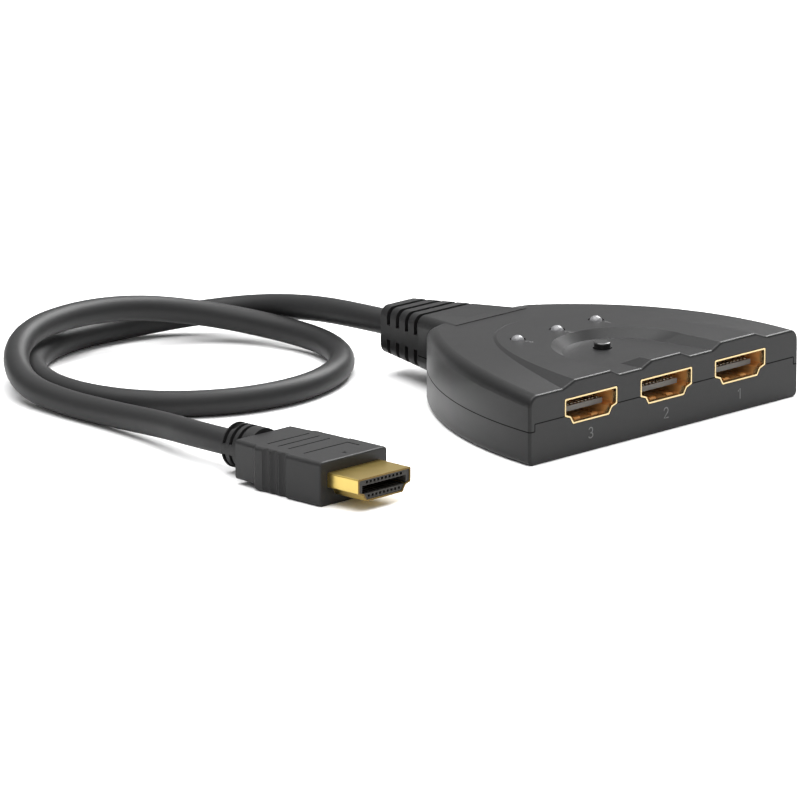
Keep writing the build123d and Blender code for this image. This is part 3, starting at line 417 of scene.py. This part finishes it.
@dataclass(frozen=True)
class SocketPlate(Plated):
    """Plating that is bright on the rim of a socket and turns to a deep copper brown inside it. The
    brown is painted interreflection: it stands in for the deep tint that light takes from bouncing
    round inside the gold socket.
    """

    front_y: float = -35.3 * MM
    rim_depth: float = 0.35 * MM
    fade_depth: float = 1.4 * MM
    # Painted interreflection: the copper brown and the lower metallic share inside the socket stand
    # in for light bounced round inside it.
    inner_bounce_colour: Colour = (0.66, 0.33, 0.11)
    inner_bounce_dulling: float = 0.65

    def inside(self, graph: Graph, place: Signal) -> Signal:
        """Rise from 0 on the rim to 1 inside the socket."""
        _, along, _ = graph.axes(place)
        return along.fade(self.front_y + self.rim_depth, self.front_y + self.fade_depth)

    def tone(self, graph: Graph, place: Signal, tint: Signal) -> Signal:
        """Paint the interreflection: turn the colour to brown with the distance behind the rim."""
        return graph.blend(self.inside(graph, place), tint, self.inner_bounce_colour)

    def metal(self, graph: Graph, place: Signal) -> Number:
        """Lower the metallic share inside the socket, as part of the painted interreflection."""
        return 1.0 - self.inside(graph, place) * self.inner_bounce_dulling


@dataclass(frozen=True)
class PlugPlate(Plated):
    """Gold plating with painted shade on its end face, which is coloured dark brown."""

    end_y: float = -35.6 * MM
    end_depth: float = 0.06 * MM
    # Painted shade: the end face is coloured dark brown to stand in for the shade that falls on it.
    end_shade_colour: Colour = (0.115, 0.075, 0.025)

    def tone(self, graph: Graph, place: Signal, tint: Signal) -> Signal:
        """Paint the shade on the end face by turning the colour dark brown."""
        _, along, _ = graph.axes(place)
        return graph.blend(along.under(self.end_y + self.end_depth), tint, self.end_shade_colour)


@dataclass(frozen=True)
class Gloss:
    """Polished plastic under a clear coat, with a barely uneven skin."""

    colour: Colour
    roughness: float = 0.16
    roughness_swing: float = 0.08
    cloud_size: float = 1.5 * MM
    cloud_detail: float = 3.0
    mottle: float = 0.05
    coat: float = 0.6
    coat_roughness: float = 0.08
    ripple_size: float = 0.5 * MM
    ripple_detail: float = 1.0
    ripple_depth: float = 0.002 * MM

    def paint(self, graph: Graph) -> None:
        """Vary the colour and the roughness by one cloud under an even coat.

        Args:
            graph: The material's graph.
        """
        place = graph.position()
        cloud = graph.noise(place, self.cloud_size, self.cloud_detail)
        ripple = graph.noise(place, self.ripple_size, self.ripple_detail)
        graph.surface(Base_Color=graph.vary(cloud, self.colour, 1 - self.mottle, 1 + self.mottle),
                      Roughness=cloud * self.roughness_swing + self.roughness,
                      Coat_Weight=self.coat, Coat_Roughness=self.coat_roughness,
                      Normal=graph.bump(ripple, self.ripple_depth))


@dataclass(frozen=True)
class SolderMask:
    """Green board lacquer over faint copper tracks."""

    colour: Colour = (0.012, 0.12, 0.045)
    track_colour: Colour = (0.02, 0.2, 0.075)
    track_pitch: float = 1.3 * MM
    track_width: float = 0.35 * MM
    track_edge: float = 0.08 * MM
    track_depth: float = 0.03 * MM
    bend_size: float = 14 * MM
    bend_pitches: float = 4
    roughness: float = 0.35
    coat: float = 0.3
    coat_roughness: float = 0.2

    def paint(self, graph: Graph) -> None:
        """Lay a track wherever the bent X coordinate is close to a multiple of the pitch.

        Args:
            graph: The material's graph.
        """
        place = graph.position()
        across, _, _ = graph.axes(place)
        bend = graph.noise(place, self.bend_size, 0.0) * (self.bend_pitches * self.track_pitch)
        phase = graph.math("PINGPONG", across + bend, self.track_pitch / 2)
        edge = self.track_width / 2
        track = 1.0 - phase.fade(edge, edge + self.track_edge)
        graph.surface(Base_Color=graph.blend(track, self.colour, self.track_colour),
                      Roughness=self.roughness, Coat_Weight=self.coat,
                      Coat_Roughness=self.coat_roughness,
                      Normal=graph.bump(track, self.track_depth))


class Surface(Enum):
    """The finishes of the switch box."""

    HOUSING = PartedShell((0.0118, 0.0118, 0.0120), roughness=0.36)
    RELIEF = Moulded((0.0108, 0.0108, 0.0110), roughness=0.46)
    JACKET = Jacket((0.0170, 0.0170, 0.0173), roughness=0.48, grain_depth=0.006 * MM)
    PLUG_GRIP = Moulded((0.0160, 0.0160, 0.0163), roughness=0.44)
    SOCKET = SocketPlate((0.50, 0.39, 0.21), roughness=0.26)
    GOLD = PlugPlate((0.54, 0.40, 0.12), roughness=0.30, smudge=0.03, line_depth=0.0001 * MM)
    CONTACT = Plated((0.34, 0.31, 0.26), roughness=0.3)
    SPRING = Plated((0.46, 0.42, 0.36), roughness=0.35)
    INSULATOR = Moulded((0.13, 0.127, 0.12), grain_depth=0.004 * MM)
    PLUG_CORE = Moulded((0.026, 0.024, 0.021), grain_depth=0.004 * MM)
    LENS = Gloss((0.15, 0.15, 0.155), roughness=0.3, coat=0.25)
    BUTTON = Gloss((0.004, 0.004, 0.004))
    PRINT = Moulded((0.10, 0.10, 0.10), roughness=0.6, grain_depth=0.003 * MM)
    STEEL = Plated((0.60, 0.60, 0.58), roughness=0.32)
    BOARD = SolderMask()
    PACKAGE = Moulded((0.022, 0.022, 0.024), roughness=0.6)
    CERAMIC = Moulded((0.42, 0.27, 0.15))
    WIRE = Moulded((0.42, 0.06, 0.05), roughness=0.4)

    @property
    def material(self) -> bpy.types.Material:
        """The material of the finish, made on first use.

        Returns:
            The same material each time.
        """
        name = f"finish_{self.name.lower()}"
        made = bpy.data.materials.get(name)
        if made is None:
            made = bpy.data.materials.new(name)
            self.value.paint(Graph(made))
        return made


def smooth_surface(name: str, rows: np.ndarray) -> bpy.types.Object:
    """Skin a grid of points with smooth four-sided faces.

    A face joins each point to the next one of its row and to the two beside them in the next row.

    Args:
        name: The piece's name.
        rows: The points, rows by columns by three coordinates.

    Returns:
        The piece, linked to the scene.
    """
    count, width, _ = rows.shape
    index = np.arange(count * width).reshape(count, width)
    faces = np.stack([index[:-1, :-1], index[:-1, 1:], index[1:, 1:], index[1:, :-1]], axis=-1)
    faces = faces.reshape(-1, 4)
    mesh = bpy.data.meshes.new(name)
    mesh.from_pydata(rows.reshape(-1, 3).tolist(), [], faces.tolist())
    mesh.polygons.foreach_set("use_smooth", np.ones(len(faces), dtype=bool))
    mesh.update()
    piece = bpy.data.objects.new(name, mesh)
    bpy.context.scene.collection.objects.link(piece)
    return piece


@dataclass(frozen=True)
class Face:
    """The outside of a part, seen against the outward direction, which is across times up.

    A triangle that is seen edge on, with less than the smallest area, doesn't count. The slack is
    how far beside a triangle a spot may lie, as a share of its edges.
    """

    part: bpy.types.Object
    across: Point
    up: Point
    smallest_area: float = 1e-13
    slack: float = 1e-6

    @property
    def basis(self) -> np.ndarray:
        """The across, up and outward directions, as rows."""
        return np.array([self.across, self.up, np.cross(self.across, self.up)], dtype=float)

    def triangles(self) -> np.ndarray:
        """Give the part's triangles.

        Returns:
            The corners, triangles by three corners by (across, up, outward).
        """
        mesh = self.part.data
        mesh.calc_loop_triangles()
        places = np.empty(3 * len(mesh.vertices), dtype=np.float32)
        mesh.vertices.foreach_get("co", places)
        index = np.empty(3 * len(mesh.loop_triangles), dtype=np.int32)
        mesh.loop_triangles.foreach_get("vertices", index)
        return (places.astype(float).reshape(-1, 3) @ self.basis.T)[index.reshape(-1, 3)]

    def heights(self, spots: np.ndarray, ceiling: float, otherwise: float) -> np.ndarray:
        """Find how far outward the surface lies at each spot.

        From a triangle's first corner, a spot lies at a share of each of the two edges there. It
        is in the triangle where both shares are at least 0 and their sum is at most 1. The height
        there is the corner's plus each share of its edge's rise, and the highest one counts.

        Args:
            spots: The spots, count by (across, up).
            ceiling: The height above which nothing counts.
            otherwise: The height to give where no triangle is met.

        Returns:
            One height for each spot.
        """
        corners = self.triangles()
        flat = corners[..., :2]
        near = (flat.min(axis=1) <= spots.max(axis=0)) & (flat.max(axis=1) >= spots.min(axis=0))
        corners = corners[near.all(axis=1)]
        first, second = corners[:, 1] - corners[:, 0], corners[:, 2] - corners[:, 0]
        area = first[:, 0] * second[:, 1] - first[:, 1] * second[:, 0]
        wide = np.abs(area) > self.smallest_area
        corner, first, second, area = corners[wide, 0], first[wide], second[wide], area[wide]
        offset = spots[:, None, :] - corner[None, :, :2]
        along_first = (offset[..., 0] * second[:, 1] - offset[..., 1] * second[:, 0]) / area
        along_second = (first[:, 0] * offset[..., 1] - first[:, 1] * offset[..., 0]) / area
        height = corner[:, 2] + along_first * first[:, 2] + along_second * second[:, 2]
        met = ((along_first >= -self.slack) & (along_second >= -self.slack)
               & (along_first + along_second <= 1 + self.slack) & (height <= ceiling))
        highest = np.where(met, height, -np.inf).max(axis=1, initial=-np.inf)
        return np.where(np.isfinite(highest), highest, otherwise)


def arc(middle: tuple[float, float], radii: tuple[float, float], first: int, last: int,
        step: int = 15) -> Run:
    """Give points on an ellipse: its middle plus its radii times the angle's cosine and sine.

    Args:
        middle: The middle, across and up.
        radii: The half widths, across and up.
        first: The first angle.
        last: The last angle, below the first.
        step: The angle between points.

    Returns:
        The points, as (across, up).
    """
    turns = np.radians(np.arange(first, last - 1, -step))
    points = np.stack([np.cos(turns), np.sin(turns)], axis=1) * radii + middle
    return tuple(map(tuple, points.tolist()))


class Digit(Enum):
    """Centre lines of plain numerals in a box one high: runs of (across, up) points."""

    ONE = (((0.10, 0.76), (0.36, 1.0), (0.36, 0.0)),)
    TWO = (arc((0.30, 0.71), (0.29, 0.29), 165, -45) + ((0.02, 0.0), (0.62, 0.0)),)
    THREE = (arc((0.28, 0.74), (0.26, 0.26), 150, -90), arc((0.28, 0.24), (0.30, 0.24), 90, -150))


@dataclass(frozen=True)
class Numeral:
    """A numeral printed as a thin, rounded layer of ink on a surface.

    The surface is looked for below the search height, counted from the numeral's own place.
    """

    digit: Digit
    height: float
    stroke: float
    middle: tuple[float, float] = (0.32, 0.5)
    ink: float = 0.02 * MM
    lift: float = 0.002 * MM
    search: float = 5 * MM
    across_steps: int = 6
    cap_steps: int = 4

    def ribbon(self, run: Run) -> np.ndarray:
        """Sweep the ink over one centre line.

        Across the stroke the ink's rise is its thickness times 1 - u squared, with u from -1 to 1
        over the width. At both ends the stroke goes on for half its width. With s from 0 to 1 along
        that stretch, its width is multiplied by the root of 1 - s squared.

        Args:
            run: The centre line in a box one high.

        Returns:
            Rows of (across, up, out) points round the numeral's middle.
        """
        line = (np.array(run) - np.array(self.middle)) * self.height
        heading = np.gradient(line, axis=0)
        heading /= np.linalg.norm(heading, axis=1, keepdims=True)
        reach = np.linspace(1.0, 0.0, self.cap_steps, endpoint=False)[:, None]
        half = self.stroke / 2
        start = line[0] - heading[0] * reach * half
        end = line[-1] + heading[-1] * reach[::-1] * half
        points = np.vstack([start, line, end])
        heading = np.vstack([np.repeat(heading[:1], self.cap_steps, 0), heading,
                             np.repeat(heading[-1:], self.cap_steps, 0)])
        sides = np.stack([-heading[:, 1], heading[:, 0]], axis=1)
        cap = np.sqrt(1.0 - reach[:, 0] ** 2)
        width = np.concatenate([cap, np.ones(len(line)), cap[::-1]])[:, None, None] * half
        u = np.linspace(-1.0, 1.0, self.across_steps)[None, :, None]
        flat = points[:, None, :] + sides[:, None, :] * u * width
        rise = np.broadcast_to((1.0 - u ** 2) * self.ink, flat[:, :, :1].shape)
        return np.concatenate([flat, rise], axis=2)

    def draw(self, name: str, place: Vector, face: Face) -> list[bpy.types.Object]:
        """Lay the numeral on a surface.

        Each point keeps its place across and up. Outward it gets the surface's height there, plus
        the ink's rise and a small lift.

        Args:
            name: The first part of the pieces' names.
            place: The numeral's middle, near the surface.
            face: The surface.

        Returns:
            One piece for each run of the digit.
        """
        middle = face.basis @ np.array(place)
        pieces = []
        for count, run in enumerate(self.digit.value, start=1):
            rows = self.ribbon(run)
            spots = (middle[:2] + rows[..., :2]).reshape(-1, 2)
            ground = face.heights(spots, middle[2] + self.search, middle[2])
            out = ground + rows[..., 2].ravel() + self.lift
            placed = np.column_stack([spots, out]) @ face.basis
            pieces.append(smooth_surface(f"{name}_{count}", placed.reshape(rows.shape)))
        return pieces


@dataclass
class Assembly:
    """A group of parts that is dressed and completed together."""

    frame: dict
    body: str = "housing"
    report: list[str] = field(default_factory=list)

    def dress(self, surface: Surface, *names: str) -> None:
        """Give CAD parts a finish.

        Args:
            surface: The finish.
            names: The parts' nodes.
        """
        for name in names:
            part = self.frame["nodes"][name]
            part.data.materials.clear()
            part.data.materials.append(surface.material)
            self.report.append(f"{name}: {surface.name.lower()}")

    def keep(self, piece: bpy.types.Object, surface: Surface, slot: str) -> None:
        """Finish a new piece and let it ride on the assembly's body.

        Args:
            piece: The piece.
            surface: Its finish.
            slot: The record's material slot that it stands for; not used.
        """
        piece.data.materials.append(surface.material)
        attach(piece, self.body)
        self.report.append(f"{piece.name}: {surface.name.lower()}")

    def build(self) -> None:
        """Dress the parts and add the pieces."""
        raise NotImplementedError

    def tell(self) -> None:
        """Log what the assembly is made of."""
        for line in self.report:
            log.info("%s | %s", type(self).__name__, line)


@dataclass
class Housing(Assembly):
    """Both shells, their screws and the numerals printed on them."""

    across: Point = (1, 0, 0)
    front_up: Point = (0, 0, 1)
    top_up: Point = (0, 1, 0)
    digit_z: float = 3.6 * MM
    digit_height: float = 2.0 * MM
    digit_stroke: float = 0.26 * MM
    lamp_digit_height: float = 1.5 * MM
    lamp_digit_stroke: float = 0.22 * MM
    lamp_digit_step: float = 3.1 * MM

    def build(self) -> None:
        """Dress the shells and print one numeral under each socket and one beside each lamp."""
        self.dress(Surface.HOUSING, "top_shell", "bottom_shell")
        self.dress(Surface.RELIEF, "strain_relief")
        self.dress(Surface.STEEL, "case_screws", "lead_clamp")
        front = Face(self.frame["nodes"]["bottom_shell"], self.across, self.front_up)
        top = Face(self.frame["nodes"]["top_shell"], self.across, self.top_up)
        for number, digit in zip(NUMBERS, Digit):
            low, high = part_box(f"port_shell_{number}")
            self.stamp(Numeral(digit, self.digit_height, self.digit_stroke),
                       f"socket_number_{number}",
                       Vector(((low.x + high.x) / 2, low.y, self.digit_z)), front)
            low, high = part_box(f"indicator_lamp_{number}")
            beside = (low.y + high.y) / 2 - self.lamp_digit_step
            self.stamp(Numeral(digit, self.lamp_digit_height, self.lamp_digit_stroke),
                       f"lamp_number_{number}",
                       Vector(((low.x + high.x) / 2, beside, high.z)), top)

    def stamp(self, label: Numeral, name: str, place: Vector, face: Face) -> None:
        """Print one numeral on a shell.

        Args:
            label: The numeral.
            name: The first part of its pieces' names.
            place: Its middle, near the shell.
            face: The shell's outside.
        """
        for piece in label.draw(name, place, face):
            self.keep(piece, Surface.PRINT, "housing")


@dataclass
class Sockets(Assembly):
    """The three input sockets."""

    def build(self) -> None:
        """Dress the shells, insulators and contacts."""
        for number in NUMBERS:
            self.dress(Surface.SOCKET, f"port_shell_{number}")
            self.dress(Surface.INSULATOR, f"port_insulator_{number}")
            self.dress(Surface.SPRING, f"port_contacts_{number}")


@dataclass
class Controls(Assembly):
    """The select button with its switch, and the indicator lamps."""

    dome_foot: Point = (0.0, -18.7 * MM, 7.01 * MM)
    dome_rise: float = 0.90 * MM
    dome_clearance: float = 0.005 * MM
    button_travel: float = 0.30 * MM

    def build(self) -> None:
        """Dress the button, the switch and the lamps, and give the dome a mesh of its own."""
        self.dress(Surface.BUTTON, "select_button")
        self.dress(Surface.PACKAGE, "switch_base", "switch_plunger")
        self.dress(Surface.STEEL, "switch_cover", "switch_dome", "switch_terminals", "lamp_leads")
        self.dress(Surface.LENS, *(f"indicator_lamp_{number}" for number in NUMBERS))
        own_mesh(self.frame["nodes"]["switch_dome"])


@dataclass
class Electronics(Assembly):
    """The circuit board and what is soldered to it."""

    def build(self) -> None:
        """Dress the board and its parts."""
        self.dress(Surface.BOARD, "circuit_board")
        self.dress(Surface.PACKAGE, "switch_chip", "regulator", "resistors")
        self.dress(Surface.CERAMIC, "capacitors")
        self.dress(Surface.STEEL, "chip_leads", "regulator_leads", "crystal")
        self.dress(Surface.WIRE, "lead_wires")


@dataclass
class Plug(Assembly):
    """The output plug."""

    parts: tuple[str, ...] = ("plug_grip", "plug_shell", "plug_insulator", "plug_contacts")
    surfaces: tuple[Surface, ...] = (Surface.PLUG_GRIP, Surface.GOLD, Surface.PLUG_CORE,
                                     Surface.CONTACT)

    def build(self) -> None:
        """Dress the plug."""
        for name, surface in zip(self.parts, self.surfaces):
            self.dress(surface, name)


@dataclass
class Lead(Assembly):
    """The free output lead: a jacket of round section on one smooth spline."""

    diameter: float = 5.1 * MM
    length: float = 384.0 * MM
    spline_order: int = 3
    steps_per_point: int = 14
    rim_steps: int = 10
    # From the strain relief round one loop, over the lead's own start and on to the plug
    route_mm: tuple[Point, ...] = (
        (0, 35.3, 9.0), (0, 48.0, 9.0), (1.5, 61.5, 8.0), (0.5, 75.5, 6.1), (-7.0, 86.5, 4.0),
        (-18.0, 92.5, 2.6), (-32.0, 93.5, 2.6), (-46.0, 89.5, 2.6), (-57.0, 81.0, 2.6),
        (-64.0, 68.5, 2.6), (-65.5, 54.5, 2.6), (-60.0, 41.5, 2.6), (-48.5, 33.0, 2.6),
        (-34.0, 30.5, 2.6), (-20.0, 34.0, 2.6), (-8.5, 42.0, 2.6), (-2.0, 54.0, 2.9),
        (-2.5, 68.0, 3.7), (-9.5, 80.0, 5.6), (-21.5, 87.5, 7.8), (-36.5, 89.5, 8.6),
        (-52.0, 86.5, 8.4), (-63.0, 79.5, 6.4), (-70.0, 69.0, 3.6), (-71.5, 56.5, 2.6),
        (-72.0, 42.0, 2.8), (-74.0, 26.5, 3.9), (-77.7, 13.5, 5.0), (-77.7, 3.3, 5.0),
    )

    def build(self) -> None:
        """Lay the lead along its route and dress its fixed end."""
        self.dress(Surface.JACKET, "lead_tail")
        curve = bpy.data.curves.new("output_lead", "CURVE")
        curve.dimensions = "3D"
        spline = curve.splines.new("NURBS")
        spline.points.add(len(self.route_mm) - 1)
        places = np.hstack([np.array(self.route_mm) * MM, np.ones((len(self.route_mm), 1))])
        spline.points.foreach_set("co", places.ravel())
        spline.order_u = self.spline_order
        spline.use_endpoint_u = True
        curve.resolution_u = self.steps_per_point
        curve.render_resolution_u = self.steps_per_point
        curve.bevel_depth = self.diameter / 2
        curve.bevel_resolution = self.rim_steps
        curve.use_fill_caps = True
        piece = bpy.data.objects.new("output_lead", curve)
        bpy.context.scene.collection.objects.link(piece)
        self.keep(piece, Surface.JACKET, "cable_jacket")
        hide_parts("lead")


@dataclass(frozen=True)
class Lamp:
    """A soft, round area light aimed at the object."""

    name: str
    place: Point
    size: float
    power: float

    def build(self, target: Vector) -> None:
        """Hang the light and turn it to the target.

        Args:
            target: What the light shines at.
        """
        data = bpy.data.lights.new(self.name, "AREA")
        data.shape = "DISK"
        data.size = self.size
        data.energy = self.power
        aim(self.name, data, self.place, target)


def aim(name: str, data: bpy.types.ID, place: Point, target: Vector) -> bpy.types.Object:
    """Put a camera or a light in its place and turn it to a target.

    Args:
        name: The object's name.
        data: The camera or light.
        place: Its place.
        target: What it looks at.

    Returns:
        The object, linked to the scene.
    """
    made = bpy.data.objects.new(name, data)
    made.location = place
    made.rotation_mode = "QUATERNION"
    made.rotation_quaternion = (target - made.location).to_track_quat("-Z", "Y")
    bpy.context.scene.collection.objects.link(made)
    return made


@dataclass
class Studio:
    """Camera, lights, pale floor and white surroundings."""

    camera_place: Point = (-1.0949, -1.01965, 0.3770)
    camera_target: Point = (-0.04753, -0.01048, 0.01038)
    lens_mm: float = 357.56
    sensor_mm: float = 36.0
    nearest_seen: float = 0.05
    farthest_seen: float = 30.0
    lamp_target: Point = (-0.03, 0.01, 0.0)
    lamps: tuple[Lamp, ...] = (
        Lamp("ramp", (0.89, 0.20, 0.80), 0.7, 17.0),
        Lamp("overhead", (-0.10, 0.05, 1.30), 1.8, 33.0),
        Lamp("front_left", (-1.10, -0.75, 0.55), 1.0, 0.7),
    )
    floor_half: float = 1.5
    floor_colour: Colour = (0.92, 0.92, 0.92)
    floor_darker: float = 0.995
    floor_speck: float = 0.02
    floor_detail: float = 2.0
    floor_roughness: float = 0.9
    floor_specular: float = 0.1
    sky_colour: Colour = (1.0, 1.0, 1.0)
    sky_foot: float = 0.22
    sky_top: float = 0.80
    horizon_rise: float = 0.06

    def build(self) -> None:
        """Set up the studio."""
        data = bpy.data.cameras.new("camera")
        data.sensor_width = self.sensor_mm
        data.lens = self.lens_mm
        data.clip_start = self.nearest_seen
        data.clip_end = self.farthest_seen
        scene = bpy.context.scene
        scene.camera = aim("camera", data, self.camera_place, Vector(self.camera_target))
        for lamp in self.lamps:
            lamp.build(Vector(self.lamp_target))
        self.lay_floor()
        self.surround()
        scene.view_settings.view_transform = "Standard"

    def lay_floor(self) -> None:
        """Lay a plain pale floor: a flat square at Z 0, with three points along each side."""
        side = np.array([-self.floor_half, 0.0, self.floor_half])
        across, along = np.meshgrid(side, side, indexing="ij")
        floor = smooth_surface("floor", np.stack([across, along, np.zeros_like(across)], axis=-1))
        material = bpy.data.materials.new("floor")
        graph = Graph(material)
        speck = graph.noise(graph.position(), self.floor_speck, self.floor_detail)
        graph.surface(Base_Color=graph.vary(speck, self.floor_colour, self.floor_darker, 1.0),
                      Roughness=self.floor_roughness, Specular_IOR_Level=self.floor_specular)
        floor.data.materials.append(material)

    def surround(self) -> None:
        """Surround the object with one soft sky for every ray.

        It is white below the horizon and up to a little above it. From there its strength rises
        with the height of the direction, from the foot's to the top's.
        """
        world = bpy.data.worlds.new("surroundings")
        graph = Graph(world)
        _, _, up = graph.axes(graph.signal("ShaderNodeTexCoord", {}, "Generated"))
        sky = graph.signal("ShaderNodeMapRange",
                           {"Value": up, "To Min": self.sky_foot, "To Max": self.sky_top})
        strength = graph.math("MAXIMUM", sky, up.under(self.horizon_rise))
        light = graph.signal("ShaderNodeBackground",
                             {"Color": self.sky_colour, "Strength": strength})
        graph.node("ShaderNodeOutputWorld", {"Surface": light})
        bpy.context.scene.world = world


def corners(box: tuple[Vector, Vector]) -> list[list[float]]:
    """Write a box as plain lists of numbers."""
    return [list(corner) for corner in box]


def main() -> None:
    """Load the frame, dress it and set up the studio."""
    logging.basicConfig(level=logging.INFO, format="%(name)s: %(message)s")
    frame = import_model()
    for kind in (Housing, Sockets, Controls, Electronics, Lead, Plug):
        assembly = kind(frame)
        assembly.build()
        assembly.tell()
    Studio().build()


if __name__ == "__main__":
    main()
